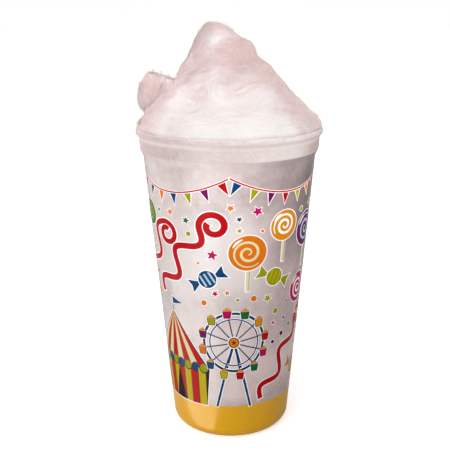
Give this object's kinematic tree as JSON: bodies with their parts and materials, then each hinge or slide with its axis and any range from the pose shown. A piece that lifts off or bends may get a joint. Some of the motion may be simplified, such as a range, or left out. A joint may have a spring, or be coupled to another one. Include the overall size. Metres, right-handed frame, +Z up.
{
  "type": "cotton candy in a cup",
  "caption": "Pink and white spun sugar heaped in one soft peak above a tall, tapered, printed plastic cup with a rolled lip and a gold foot band.",
  "frame": {"origin": "centre of the cup's foot, on the surface that it stands on", "axes": "+Z up along the cup's axis, -Y towards the front, +X to the right"},
  "size_m": [0.1034, 0.1034, 0.2301],
  "materials": {
    "cup_plastic": "satin white, cloudy and slightly see-through polypropylene, printed all round",
    "spun_sugar": "matte, silky, very fine fibre, white turning to dusty pink"
  },
  "bodies": {
    "root": {"cup": "cup_plastic", "cotton_candy": "spun_sugar"}
  },
  "joints": []
}
